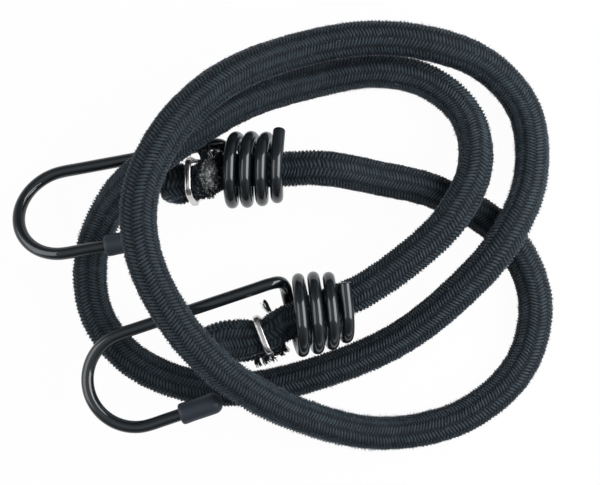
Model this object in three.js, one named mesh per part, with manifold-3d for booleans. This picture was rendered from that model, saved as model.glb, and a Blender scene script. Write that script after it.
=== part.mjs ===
// A bungee cord lying in loose loops: a braided sheath over rubber strands, with a wire hook on each end.
// Sizes are in millimetres. +Z is up and the cord rests on z = 0.
import * as THREE from 'three';
import { mergeVertices } from 'three/addons/utils/BufferGeometryUtils.js';
import openManifold from 'manifold-3d';

// Cord
const CORD_DIAMETER = 10;
const SHEATH_BORE = 7.5;
const CORD_SIDES = 10;
const CORD_STEPS = 72;
const STRAND_SIDE = 1.3;
const OUTER_STRANDS = 7;

// Gap kept between pieces that touch each other, and the wider one round the core of a folded end
const CLEARANCE = 0.3;
const FOLD_CLEARANCE = 0.55;

// Hook: one bent wire with a coil round the cord, and a push-on cap on its tip
const WIRE_DIAMETER = 3.5;
const WIRE_SIDES = 8;
const WIRE_STEPS = 112;
const SHANK_LENGTH = 48;
const SHANK_LEAN = 8.9;
const BEND_RADIUS = 13.5;
const ARM_LENGTH = 18;
const COIL_PITCH = 4.3;
const COIL_TURNS = 3.75;
const COIL_TAPER_START = 1.25;
const COIL_STEPS_PER_TURN = 20;
const COIL_END_PLAY = 1.25;
const COIL_TAIL = 7.5;
const COIL_TAIL_LEAN = 3.5;
const CORNER_RADIUS = 4;
const CAP_DIAMETER = 6.1;
const CAP_LENGTH = 12.4;
const CAP_ROUNDING = 2.4;
const CAP_SIDES = 18;

// Clip: a flat steel band closed round the folded end of the cord
const CLIP_WIDTH = 1.8;
const CLIP_THICKNESS = 1.1;
const CLIP_OPENING = 18;
const CLIP_STEPS = 40;

const CORD_RADIUS = CORD_DIAMETER / 2;
const WIRE_RADIUS = WIRE_DIAMETER / 2;
const SHEATH_WALL = (CORD_DIAMETER - SHEATH_BORE) / 2;
// The underside of the resting cord is flat, a tenth of the diameter deep
const REST_HEIGHT = CORD_RADIUS - CORD_DIAMETER / 10;

// Where the cord's centre runs between its two straight ends: x, y, and the height above the resting
// height counted in cord diameters, so 1 or more lies on another stretch of the cord
const ROUTE = [
  [35.5, -5.4, 1.0],
  [46.6, 5.6, 1.13],
  [53.7, 19.8, 0.92],
  [52.6, 35.1, 0.26],
  [42.8, 45.1, 0],
  [27.6, 48.9, 0],
  [7.1, 45.6, 0.05],
  [-11.5, 38.7, 0.74],
  [-26.3, 28.9, 1.44],
  [-37.2, 20.4, 1.62],
  [-49.4, 9.7, 0.7],
  [-56.9, -5.8, 0.04],
  [-55.2, -22.5, 0],
  [-45.6, -35.1, 0],
  [-29.5, -42.7, 0],
  [-10.4, -44.0, 0],
  [13.0, -38.3, 0],
  [33.3, -29.1, 0.18],
  [49.7, -15.1, 0.78],
  [61.2, -1.2, 1.12],
  [69.8, 16.5, 0.7],
  [69.7, 36.7, 0.14],
  [58.6, 49.5, 0.3],
  [41.3, 55.4, 0.68],
  [22.7, 56.8, 0.74],
  [1.4, 52.2, 1.0],
  [-17.6, 42.1, 1.96],
  [-30.8, 27.7, 2.63],
  [-37.5, 11.1, 3.0],
  [-36.8, -4.0, 3.0],
  [-28.8, -21.8, 2.7],
  [-16.1, -36.9, 2.1],
  [4.2, -50.0, 1.0],
  [29.0, -56.9, 0.1],
  [52.5, -51.8, 0],
  [68.6, -37.4, 0],
  [73.0, -18.1, 0],
  [64.8, 0.3, 0],
  [45.1, 12.9, 0.05],
  [25.9, 17.5, 0.35],
];

// Each end: the straight line that the cord follows through the coil, how the hook lies on it, and the
// folded end. Fold stations are in cord diameters: distance out along the axis, shift across it, rise
// towards the tail's side, width and thickness. The fold itself is a half circle between the outward run
// and the tail, and the clip's inside is given by its width and height.
const FRONT = {
  name: 'front',
  axisPoint: [4.3, -22.4, 12.5],
  axisAzimuth: 22.5,
  axisElevation: 1.2,
  straight: [9, 18],
  coilPoint: [1.1, -22.4, 12.6],
  coilAzimuth: 9.4,
  coilElevation: -2.5,
  coilRoll: 0,
  coilPlay: 3.35,
  capGrip: 9.4,
  tailRoll: 165,
  outwardRun: [[0.48, 0, 0, 1, 1], [0.66, 0.04, -0.03, 1.02, 0.9], [0.84, 0.09, -0.1, 1, 0.7],
    [1, 0.11, -0.1, 0.92, 0.62], [1.32, 0.11, -0.1, 0.92, 0.62], [1.62, 0.02, -0.1, 1.1, 0.66],
    [2.15, -0.16, -0.1, 1.16, 0.66]],
  foldCentre: [2.5, -0.2, 0.25],
  foldSection: [1.16, 0.62],
  tail: [[2.1, -0.16, 0.6, 1.16, 0.64], [1.66, 0.02, 0.6, 1.1, 0.62], [1.32, 0.11, 0.6, 0.92, 0.6],
    [1, 0.11, 0.61, 0.92, 0.6], [0.8, 0.12, 0.74, 1.04, 0.64]],
  clipCentre: [1.16, 0.11, 0.25],
  clipInside: [0.96, 1.36],
};
const REAR = {
  name: 'rear',
  axisPoint: [-10, 19.3, 11.6],
  axisAzimuth: 1.5,
  axisElevation: 2,
  straight: [10.5, 20],
  coilPoint: [-17.3, 19.2, 11.35],
  coilAzimuth: 2.4,
  coilElevation: 5.4,
  coilRoll: -27.3,
  coilPlay: 2.45,
  capGrip: 7,
  tailRoll: -10,
  outwardRun: [[0.5, 0, 0, 1, 1], [0.8, -0.02, -0.06, 1, 0.92], [1.05, -0.09, -0.24, 0.98, 0.76],
    [1.3, -0.2, -0.42, 0.94, 0.64], [1.5, -0.29, -0.47, 0.87, 0.62], [1.78, -0.3, -0.48, 0.88, 0.62]],
  foldCentre: [2, -0.3, -0.13],
  foldSection: [1.06, 0.62],
  tail: [[1.78, -0.3, 0.22, 0.88, 0.6], [1.65, -0.3, 0.22, 0.86, 0.6], [1.48, -0.3, 0.23, 0.87, 0.58],
    [1.31, -0.31, 0.43, 0.96, 0.62], [1.04, -0.32, 0.8, 1.04, 0.68]],
  clipCentre: [1.66, -0.3, -0.06],
  clipInside: [0.89, 1.49],
};

const { Manifold, Mesh } = await startManifold();

async function startManifold() {
  const wasm = await openManifold();
  wasm.setup();
  return wasm;
}

function direction(azimuth, elevation) {
  const a = THREE.MathUtils.degToRad(azimuth);
  const e = THREE.MathUtils.degToRad(elevation);
  return new THREE.Vector3(Math.cos(a) * Math.cos(e), Math.sin(a) * Math.cos(e), Math.sin(e));
}

// A right-handed frame with its first axis along the given direction and its second one level,
// then rolled about the first axis
function frameAt(point, azimuth, elevation, roll) {
  const first = direction(azimuth, elevation);
  const level = new THREE.Vector3(0, 0, 1).cross(first).normalize();
  const upright = first.clone().cross(level);
  const r = THREE.MathUtils.degToRad(roll);
  const second = level.clone().multiplyScalar(Math.cos(r)).addScaledVector(upright, Math.sin(r));
  const third = first.clone().cross(second);
  return new THREE.Matrix4().makeBasis(first, second, third).setPosition(...point);
}

function polygon(radius, sides) {
  const points = [];
  for (let i = 0; i < sides; i += 1) {
    const angle = (i / sides) * 2 * Math.PI;
    points.push(new THREE.Vector2(radius * Math.cos(angle), radius * Math.sin(angle)));
  }
  return points;
}

function rectangle(width, height, centre, turn) {
  const corners = [[-1, -1], [1, -1], [1, 1], [-1, 1]];
  return corners.map(([x, y]) => {
    const corner = new THREE.Vector2((x * width) / 2, (y * height) / 2);
    return corner.rotateAround(new THREE.Vector2(), turn).add(centre);
  });
}

function tube(section, curve, steps) {
  return new THREE.ExtrudeGeometry(section, { steps, extrudePath: curve, bevelEnabled: false });
}

// The laid cord's centre line, which never sinks below its resting height
class LaidCurve extends THREE.CatmullRomCurve3 {
  getPoint(t, target) {
    const point = super.getPoint(t, target);
    point.z = Math.max(point.z, REST_HEIGHT);
    return point;
  }
}

function cordCurve() {
  const start = straightPoints(FRONT);
  const end = straightPoints(REAR).reverse();
  const between = ROUTE.map(([x, y, lift]) => new THREE.Vector3(x, y, REST_HEIGHT + lift * CORD_DIAMETER));
  return new LaidCurve([...start, ...between, ...end]);
}

function straightPoints(end) {
  const axis = direction(end.axisAzimuth, end.axisElevation);
  const stops = [CLEARANCE / 2, ...end.straight];
  return stops.map((s) => new THREE.Vector3(...end.axisPoint).addScaledVector(axis, s));
}

function toSolid(geometry) {
  const bare = geometry.clone();
  bare.deleteAttribute('normal');
  bare.deleteAttribute('uv');
  const merged = mergeVertices(bare, 1e-4);
  return new Manifold(new Mesh({
    numProp: 3,
    vertProperties: new Float32Array(merged.getAttribute('position').array),
    triVerts: new Uint32Array(merged.getIndex().array),
  }));
}

function toGeometry(solid) {
  const mesh = solid.getMesh();
  const geometry = new THREE.BufferGeometry();
  geometry.setAttribute('position', new THREE.BufferAttribute(mesh.vertProperties, 3));
  geometry.setIndex(new THREE.BufferAttribute(mesh.triVerts, 1));
  return geometry;
}

// The sheath is a tube with a bore, flat below where it rests
function sheathGeometry(curve) {
  const section = new THREE.Shape(polygon(CORD_RADIUS, CORD_SIDES));
  section.holes.push(new THREE.Path(polygon(SHEATH_BORE / 2, CORD_SIDES)));
  const floorSize = 400;
  const floor = Manifold.cube([floorSize, floorSize, floorSize], true).translate([0, 0, -floorSize / 2]);
  return toGeometry(toSolid(tube(section, curve, CORD_STEPS)).subtract(floor));
}

// Square rubber strands lie side by side in the bore: a ring of them round a middle pair
function strandSections() {
  const reach = (SHEATH_BORE / 2) * Math.cos(Math.PI / CORD_SIDES) - CLEARANCE;
  const ringRadius = Math.sqrt(reach ** 2 - (STRAND_SIDE / 2) ** 2) - STRAND_SIDE / 2;
  const sections = [];
  for (let i = 0; i < OUTER_STRANDS; i += 1) {
    const angle = (i / OUTER_STRANDS) * 2 * Math.PI;
    const centre = new THREE.Vector2(ringRadius * Math.cos(angle), ringRadius * Math.sin(angle));
    sections.push(rectangle(STRAND_SIDE, STRAND_SIDE, centre, angle));
  }
  for (const side of [-1, 1]) {
    const centre = new THREE.Vector2((side * (STRAND_SIDE + CLEARANCE)) / 2, 0);
    sections.push(rectangle(STRAND_SIDE, STRAND_SIDE, centre, 0));
  }
  return sections.map((points) => new THREE.Shape(points));
}

// The hook's path in its own frame: x along the coil towards the cord, y towards the shank, z across
function hookPath(coilPlay) {
  const coilRadius = CORD_RADIUS + WIRE_RADIUS + coilPlay;
  const endRadius = CORD_RADIUS + WIRE_RADIUS + COIL_END_PLAY;
  const lean = THREE.MathUtils.degToRad(SHANK_LEAN);
  const away = new THREE.Vector3(-Math.cos(lean), -Math.sin(lean), 0);
  const across = new THREE.Vector3(-Math.sin(lean), Math.cos(lean), 0);
  const shankStart = new THREE.Vector3(-CORNER_RADIUS, coilRadius, 0);
  const shankRun = SHANK_LENGTH - CORNER_RADIUS;
  const bendCentre = shankStart.clone().addScaledVector(away, shankRun).addScaledVector(across, -BEND_RADIUS);
  const armStart = bendCentre.clone().addScaledVector(across, -BEND_RADIUS);
  const points = [];
  const armPieces = 6;
  for (let i = 0; i <= armPieces; i += 1) {
    points.push(armStart.clone().addScaledVector(away, -ARM_LENGTH * (1 - i / armPieces)));
  }
  const bendPieces = 16;
  for (let i = 1; i < bendPieces; i += 1) {
    const angle = (i / bendPieces) * Math.PI;
    const point = bendCentre.clone().addScaledVector(across, -BEND_RADIUS * Math.cos(angle));
    points.push(point.addScaledVector(away, BEND_RADIUS * Math.sin(angle)));
  }
  const shankPieces = 10;
  for (let i = 0; i <= shankPieces; i += 1) {
    points.push(shankStart.clone().addScaledVector(away, shankRun * (1 - i / shankPieces)));
  }
  const cornerPoint = CORNER_RADIUS * (1 - Math.SQRT1_2);
  points.push(new THREE.Vector3(-cornerPoint, coilRadius, -cornerPoint));
  const coilSteps = Math.round(COIL_TURNS * COIL_STEPS_PER_TURN);
  const firstCoilStep = 2;
  for (let i = firstCoilStep; i <= coilSteps; i += 1) {
    const turn = i / COIL_STEPS_PER_TURN;
    const taper = Math.max(0, (turn - COIL_TAPER_START) / (COIL_TURNS - COIL_TAPER_START));
    const radius = coilRadius + (endRadius - coilRadius) * taper ** 2;
    const angle = -2 * Math.PI * turn;
    points.push(new THREE.Vector3(COIL_PITCH * turn, radius * Math.cos(angle), radius * Math.sin(angle)));
  }
  const coilEnd = points[points.length - 1];
  const tailLean = THREE.MathUtils.degToRad(COIL_TAIL_LEAN);
  const tailWay = new THREE.Vector3(Math.sin(tailLean), Math.cos(tailLean), 0);
  const tailPieces = 3;
  for (let i = 1; i <= tailPieces; i += 1) {
    points.push(coilEnd.clone().addScaledVector(tailWay, (COIL_TAIL * i) / tailPieces));
  }
  return { curve: new THREE.CatmullRomCurve3(points), tip: points[0], outward: away.clone().negate() };
}

// The least gap between two stretches of one wire or cord that aren't neighbours along it
function leastGap(curve, diameter) {
  const length = curve.getLength();
  const samples = Math.round(length);
  const points = curve.getSpacedPoints(samples);
  const apart = Math.ceil((3 * diameter * samples) / length);
  let least = Infinity;
  for (let i = 0; i < points.length; i += 1) {
    for (let j = i + apart; j < points.length; j += 1) {
      least = Math.min(least, points[i].distanceTo(points[j]) - diameter);
    }
  }
  return least;
}

// The cap is closed at its round end and bored to grip the wire's tip
function capGeometry(tip, outward, grip) {
  const bore = WIRE_RADIUS + CLEARANCE;
  const outer = CAP_DIAMETER / 2;
  const boreEnd = Math.max(FRONT.capGrip, REAR.capGrip) + CLEARANCE;
  const edge = 0.5;
  const profile = [
    new THREE.Vector2(0, boreEnd),
    new THREE.Vector2(bore, boreEnd),
    new THREE.Vector2(bore, 0),
    new THREE.Vector2(outer - edge, 0),
    new THREE.Vector2(outer, edge),
  ];
  const roundPieces = 4;
  for (let i = 0; i <= roundPieces; i += 1) {
    const angle = (i / roundPieces) * (Math.PI / 2);
    const radius = outer - CAP_ROUNDING * (1 - Math.cos(angle));
    profile.push(new THREE.Vector2(radius, CAP_LENGTH - CAP_ROUNDING * (1 - Math.sin(angle))));
  }
  profile.push(new THREE.Vector2(0, CAP_LENGTH));
  const geometry = new THREE.LatheGeometry(profile, CAP_SIDES);
  const turn = new THREE.Quaternion().setFromUnitVectors(new THREE.Vector3(0, 1, 0), outward);
  geometry.applyQuaternion(turn);
  const start = tip.clone().addScaledVector(outward, -grip);
  geometry.translate(start.x, start.y, start.z);
  return geometry;
}

// Stations of the folded end, out along the axis, round the fold and back along the tail
function foldStations(end) {
  const [foldOut, foldAcross, foldRise] = end.foldCentre;
  const foldRadius = end.tail[0][2] - foldRise;
  const round = [];
  const roundPieces = 6;
  for (let i = 0; i <= roundPieces; i += 1) {
    const angle = (i / roundPieces) * Math.PI;
    const out = foldOut + foldRadius * Math.sin(angle);
    const rise = foldRise - foldRadius * Math.cos(angle);
    round.push([out, foldAcross, rise, ...end.foldSection]);
  }
  const start = [CLEARANCE / 2 / CORD_DIAMETER, 0, 0, 1, 1];
  return [start, ...end.outwardRun, ...round, ...end.tail];
}

// A point of the folded end in its own frame: out from the cord, across, and towards the tail's side
function foldPoint(out, across, rise) {
  return new THREE.Vector3(-out, across, rise).multiplyScalar(CORD_DIAMETER);
}

// Rings of points square to the path through the stations, drawn in by an even margin all round
function foldRings(end, margin) {
  const stations = foldStations(end);
  const centres = stations.map(([out, across, rise]) => foldPoint(out, across, rise));
  return stations.map(([, , , wide, tall], i) => {
    const before = centres[Math.max(i - 1, 0)];
    const after = centres[Math.min(i + 1, centres.length - 1)];
    const forward = after.clone().sub(before).normalize();
    const across = new THREE.Vector3(0, 1, 0).addScaledVector(forward, -forward.y).normalize();
    const lift = forward.clone().cross(across);
    const halfWide = (wide * CORD_DIAMETER) / 2 - margin;
    const halfTall = (tall * CORD_DIAMETER) / 2 - margin;
    return polygon(1, CORD_SIDES).map((p) => centres[i].clone()
      .addScaledVector(across, p.x * halfWide)
      .addScaledVector(lift, p.y * halfTall));
  });
}

// A closed skin over rings of points: round the outside, and back through the bore if there is one
function skin(outerRings, boreRings) {
  const closed = boreRings.length > 0;
  const rings = [...outerRings, ...boreRings.slice().reverse()];
  const sides = rings[0].length;
  const positions = rings.flat().flatMap((p) => [p.x, p.y, p.z]);
  const index = [];
  const joins = closed ? rings.length : rings.length - 1;
  for (let r = 0; r < joins; r += 1) {
    const next = (r + 1) % rings.length;
    for (let s = 0; s < sides; s += 1) {
      const t = (s + 1) % sides;
      const corners = [r * sides + s, r * sides + t, next * sides + t, next * sides + s];
      index.push(corners[0], corners[1], corners[2], corners[0], corners[2], corners[3]);
    }
  }
  if (!closed) {
    const last = (rings.length - 1) * sides;
    for (let s = 1; s < sides - 1; s += 1) {
      index.push(0, s + 1, s);
      index.push(last, last + s, last + s + 1);
    }
  }
  const geometry = new THREE.BufferGeometry();
  geometry.setAttribute('position', new THREE.Float32BufferAttribute(positions, 3));
  geometry.setIndex(index);
  return geometry;
}

// A flat band bent round both runs of the fold, its two ends a little apart
function clipGeometry(end) {
  const halfWide = (end.clipInside[0] * CORD_DIAMETER) / 2 + CLEARANCE + CLIP_THICKNESS / 2;
  const halfTall = (end.clipInside[1] * CORD_DIAMETER) / 2 + CLEARANCE + CLIP_THICKNESS / 2;
  const squareness = 0.5;
  const opening = THREE.MathUtils.degToRad(CLIP_OPENING);
  const points = [];
  for (let i = 0; i <= CLIP_STEPS; i += 1) {
    const angle = opening / 2 + (i / CLIP_STEPS) * (2 * Math.PI - opening);
    const c = Math.cos(angle);
    const s = Math.sin(angle);
    const y = halfWide * Math.sign(c) * Math.abs(c) ** squareness;
    const z = halfTall * Math.sign(s) * Math.abs(s) ** squareness;
    points.push(new THREE.Vector3(0, y, z));
  }
  const section = new THREE.Shape(rectangle(CLIP_WIDTH, CLIP_THICKNESS, new THREE.Vector2(), 0));
  const geometry = tube(section, new THREE.CatmullRomCurve3(points), CLIP_STEPS);
  const middle = foldPoint(...end.clipCentre);
  geometry.translate(middle.x, middle.y, middle.z);
  return geometry;
}

const BLACK_YARN = { color: 0x25292e, roughness: 0.85, metalness: 0 };
const RUBBER = { color: 0x9b978c, roughness: 0.7, metalness: 0 };
const COATED_WIRE = { color: 0x16191a, roughness: 0.3, metalness: 0 };
const CAP_PLASTIC = { color: 0x1b1d1e, roughness: 0.5, metalness: 0 };
const BRIGHT_STEEL = { color: 0xc9c6c4, roughness: 0.25, metalness: 1 };

const part = new THREE.Group();
part.name = 'bungee_cord';

function addPiece(name, geometry, finish) {
  const mesh = new THREE.Mesh(geometry, new THREE.MeshStandardMaterial(finish));
  mesh.name = name;
  part.add(mesh);
}

function addCord() {
  const curve = cordCurve();
  addPiece('cord_sheath', sheathGeometry(curve), BLACK_YARN);
  strandSections().forEach((section, i) => {
    addPiece(`rubber_strand_${i + 1}`, tube(section, curve, CORD_STEPS), RUBBER);
  });
  console.log(`cord length between the folded ends ${curve.getLength().toFixed(1)} mm`);
  console.log(`cord least gap to itself ${leastGap(curve, CORD_DIAMETER).toFixed(2)} mm`);
}

function addHook(end) {
  const place = frameAt(end.coilPoint, end.coilAzimuth, end.coilElevation, end.coilRoll);
  const { curve, tip, outward } = hookPath(end.coilPlay);
  const section = new THREE.Shape(polygon(WIRE_RADIUS, WIRE_SIDES));
  addPiece(`${end.name}_hook_wire`, tube(section, curve, WIRE_STEPS).applyMatrix4(place), COATED_WIRE);
  addPiece(`${end.name}_tip_cap`, capGeometry(tip, outward, end.capGrip).applyMatrix4(place), CAP_PLASTIC);
  console.log(`${end.name} hook wire least gap to itself ${leastGap(curve, WIRE_DIAMETER).toFixed(2)} mm`);
}

function addFoldedEnd(end) {
  const place = frameAt(end.axisPoint, end.axisAzimuth, end.axisElevation, end.tailRoll);
  const sheath = skin(foldRings(end, 0), foldRings(end, SHEATH_WALL));
  const core = skin(foldRings(end, SHEATH_WALL + FOLD_CLEARANCE), []);
  addPiece(`${end.name}_folded_sheath`, sheath.applyMatrix4(place), BLACK_YARN);
  addPiece(`${end.name}_folded_core`, core.applyMatrix4(place), RUBBER);
  addPiece(`${end.name}_clip`, clipGeometry(end).applyMatrix4(place), BRIGHT_STEEL);
}

addCord();
for (const end of [FRONT, REAR]) {
  addHook(end);
  addFoldedEnd(end);
}

export default part;
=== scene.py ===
"""A bungee cord that lies in loose loops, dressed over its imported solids.

Lengths are in millimetres until a mesh or the camera takes them. Lamps and floor are in metres, and noise
scales are per metre.
"""

import math

import bpy
import numpy as np
from mathutils import Matrix


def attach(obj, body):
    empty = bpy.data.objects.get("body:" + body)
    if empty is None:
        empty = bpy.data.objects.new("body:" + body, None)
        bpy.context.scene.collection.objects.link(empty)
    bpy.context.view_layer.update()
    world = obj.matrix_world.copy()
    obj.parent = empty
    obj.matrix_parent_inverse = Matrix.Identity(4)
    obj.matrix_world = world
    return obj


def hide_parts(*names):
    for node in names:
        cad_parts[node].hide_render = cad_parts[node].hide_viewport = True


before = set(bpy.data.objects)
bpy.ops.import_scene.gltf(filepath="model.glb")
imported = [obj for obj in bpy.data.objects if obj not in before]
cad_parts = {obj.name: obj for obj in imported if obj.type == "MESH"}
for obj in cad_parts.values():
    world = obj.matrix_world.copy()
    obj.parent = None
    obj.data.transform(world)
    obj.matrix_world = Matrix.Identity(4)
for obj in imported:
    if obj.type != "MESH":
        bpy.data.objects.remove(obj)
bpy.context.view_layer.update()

MM = 0.001

# Camera, straight above the cord, with the photo's width and its focal length in pixels
PICTURE_WIDTH = 600
FOCAL_PIXELS = 943
SENSOR_WIDTH = 36
CAMERA_PLACE = (4.2, -1.3, 280)
NEAREST_SEEN = 10

# Cord and hook sizes, as in the part's source
CORD_DIAMETER = 10.0
CORD_RADIUS = CORD_DIAMETER / 2
CORD_SIDES = 10
SHEATH_WALL = 1.25
STRAND_SIDE = 1.3
OUTER_STRANDS = 7
CLEARANCE = 0.3
REST_HEIGHT = 4.0
WIRE_RADIUS = 1.75
SHANK_LENGTH = 48.0
SHANK_LEAN = 8.9
BEND_RADIUS = 13.5
ARM_LENGTH = 18.0
COIL_PITCH = 4.3
COIL_TURNS = 3.75
COIL_TAPER_START = 1.25
COIL_STEPS_PER_TURN = 20
COIL_END_PLAY = 1.25
COIL_TAIL = 7.5
COIL_TAIL_LEAN = 3.5
CORNER_RADIUS = 4.0
CAP_RADIUS = 3.05
CAP_LENGTH = 12.4
CLIP_WIDTH = 1.8
CLIP_THICKNESS = 1.1
CLIP_OPENING = 18.0

# Points of the lines, steps along the dressed pieces and sides round them
ARM_POINTS = 7
BEND_POINTS = 17
SHANK_POINTS = 11
FOLD_POINTS = 7
CAP_LIP_POINTS = 7
CAP_END_POINTS = 9
POINTS_PER_SPAN = 12
CORD_STEP = 1.0
FOLD_STEP = 0.6
WIRE_STEP = 0.8
CLIP_STEP = 0.4
CLIP_POINTS = 160
GROUND_SIDES = 18
FOLD_CORE_SIDES = 16
WIRE_SIDES = 20
CAP_SIDES = 40

# Roundings and small forms. CAP_SIDE says how far the cap's side lies off its radius, and where along it
STRAND_ROUND = 0.2
WIRE_END_ROUND = 0.5
CLIP_ROUND = 0.5
CLIP_SQUARENESS = 0.5
TONGUE_TAPER = 0.45
CAP_LIP = 0.85
CAP_SIDE = ((0.02, 1.6), (-0.06, 3.2), (-0.05, 6.0), (-0.03, 8.6))
CAP_END_INSET = 0.05
CAP_END_ROUND = 2.6
CAP_POLE = 0.05
CAP_BORE_FLAT = 0.6
CAP_BORE_NOSE = 0.7
CAP_MOUTH = 0.4
CAP_FLARE = 0.1

# Braid: pairs of yarn cross in columns round the cord, and each pass over the top is one short ridge.
# A ridge's half width and its column's stagger are in pitches
BRAID_COLUMNS = 10
RIDGE_PITCH = 0.96
RIDGE_SLANT = 0.55
RIDGE_CROWN = 5.05
RIDGE_DIP = 0.4
RIDGE_ROUND = 0.7
RIDGE_WANDER = 0.6
RIDGE_OVERLAP = 1.14
RIDGE_HALF_WIDTH = 0.54
RIDGE_NARROWING = 0.25
COLUMN_STAGGER = 0.25
GROUND_RADIUS = 4.62
YARN_LOWEST = 0.03
GROUND_LOWEST = 0.05
WANDER_SCALE = 520.0

# Stray fibres: broken filaments, rooted a little inside the braid. Fewer stand where it faces up or down
STRAY_FIBRES = 24000
FOLD_FIBRES = 1800
FIBRE_DRAW = 5
FIBRE_RADIUS = 0.045
FIBRE_LENGTHS = (0.4, 0.8)
FIBRE_CURL = 0.8
FIBRE_CURL_SEED = 3.0
FIBRE_SINK = 0.25
FIBRE_SHIFT = 0.5
FIBRE_LEAN = 0.35
FIBRE_SCATTER = 0.6
FIBRE_LOWEST = 1.2
SIDE_RISE = 0.6
TOP_SHARE = 0.15
CURL_SCALE = 420.0
THREAD_SIDE = (0.3, 0.5, 0.8)

# Folded ends: the core shows past the sheath by two steps, and ends in a bundle of fine square strands
SHEATH_SHORT = 2
CORE_INSET = 0.5
CUT_FACE_INSET = 0.35
CUT_DRAW = 7
CUT_SIDE = 0.6
CUT_FILL = 0.9
CUT_ROUND = 0.12
CUT_SHIFT = 0.12
CUT_TURN = 0.4
CUT_TILT = 0.12
CUT_TOPS = (-0.45, 0.15)
CUT_DEPTH = 1.5
CUT_BEVEL = 0.1
CUT_TOP_SIZE = 0.8

# Loose threads: how much they scatter and vary in length, and how the sheath's mouth frays
LOOSE_DRAW = 11
LOOSE_CURL_SEED = 2.0
LOOSE_SCATTER = 0.3
LOOSE_LENGTHS = (0.6, 1.1)
LOCK_SPREAD = 0.22
LOCK_SCATTER = 0.08
LOCK_LENGTHS = (0.7, 1.0)
MOUTH_ROOTS = (0.9, 0.98)
MOUTH_FORWARD = (0.3, 1.0)
MOUTH_FLARE = 0.6

# The cord's route between its straight ends: x, y, and height above its resting height in cord diameters
ROUTE = [
    (35.5, -5.4, 1.0), (46.6, 5.6, 1.13), (53.7, 19.8, 0.92), (52.6, 35.1, 0.26), (42.8, 45.1, 0),
    (27.6, 48.9, 0), (7.1, 45.6, 0.05), (-11.5, 38.7, 0.74), (-26.3, 28.9, 1.44), (-37.2, 20.4, 1.62),
    (-49.4, 9.7, 0.7), (-56.9, -5.8, 0.04), (-55.2, -22.5, 0), (-45.6, -35.1, 0), (-29.5, -42.7, 0),
    (-10.4, -44.0, 0), (13.0, -38.3, 0), (33.3, -29.1, 0.18), (49.7, -15.1, 0.78), (61.2, -1.2, 1.12),
    (69.8, 16.5, 0.7), (69.7, 36.7, 0.14), (58.6, 49.5, 0.3), (41.3, 55.4, 0.68), (22.7, 56.8, 0.74),
    (1.4, 52.2, 1.0), (-17.6, 42.1, 1.96), (-30.8, 27.7, 2.63), (-37.5, 11.1, 3.0), (-36.8, -4.0, 3.0),
    (-28.8, -21.8, 2.7), (-16.1, -36.9, 2.1), (4.2, -50.0, 1.0), (29.0, -56.9, 0.1), (52.5, -51.8, 0),
    (68.6, -37.4, 0), (73.0, -18.1, 0), (64.8, 0.3, 0), (45.1, 12.9, 0.05), (25.9, 17.5, 0.35),
]

# Each end: the line through the coil, the hook on it, and the folded end. The fold's stations (out, across, rise,
# width, thickness) and the clip's centre and inside are in cord diameters. Loose threads are clumps in the end's
# own frame: middle, spread, way, length, and the numbers of black locks and pale threads. "frayed" is the range of
# lengths at the sheath's mouth, and "tongue" the line of the clip's bent end, where it has one
FRONT = {
    "name": "front", "point": (4.3, -22.4, 12.5), "azimuth": 22.5, "elevation": 1.2, "straight": (9, 18),
    "coil_point": (1.1, -22.4, 12.6), "coil_azimuth": 9.4, "coil_elevation": -2.5, "coil_roll": 0,
    "coil_play": 3.35, "cap_grip": 9.4, "tail_roll": 165,
    "outward": [(0.48, 0, 0, 1, 1), (0.66, 0.04, -0.03, 1.02, 0.9), (0.84, 0.09, -0.1, 1, 0.7),
                (1, 0.11, -0.1, 0.92, 0.62), (1.32, 0.11, -0.1, 0.92, 0.62), (1.62, 0.02, -0.1, 1.1, 0.66),
                (2.15, -0.16, -0.1, 1.16, 0.66)],
    "fold": (2.5, -0.2, 0.25), "fold_section": (1.16, 0.62),
    "tail": [(2.1, -0.16, 0.6, 1.16, 0.64), (1.66, 0.02, 0.6, 1.1, 0.62), (1.32, 0.11, 0.6, 0.92, 0.6),
             (1, 0.11, 0.61, 0.92, 0.6), (0.8, 0.12, 0.74, 1.04, 0.64)],
    "clip_centre": (1.16, 0.11, 0.25), "clip_inside": (0.96, 1.36),
    "loose": [((-9.4, 3.6, 7.0), (1.2, 1.6, 0.8), (0.1, 0.95, 0.2), 4.4, 11, 5),
              ((-14.4, 5.0, 4.6), (2.6, 0.4, 1.3), (0.1, 1.0, 0.1), 4.2, 9, 3),
              ((-7.4, -4.7, -1.3), (0.2, 0.1, 0.2), (-0.15, -1.0, -0.1), 3.6, 2, 0),
              ((-8.0, -4.6, -1.2), (0.3, 0.1, 0.3), (-0.35, -0.9, 0.0), 4.0, 0, 3)],
    "frayed": (0.3, 0.8), "tongue": [],
}
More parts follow.
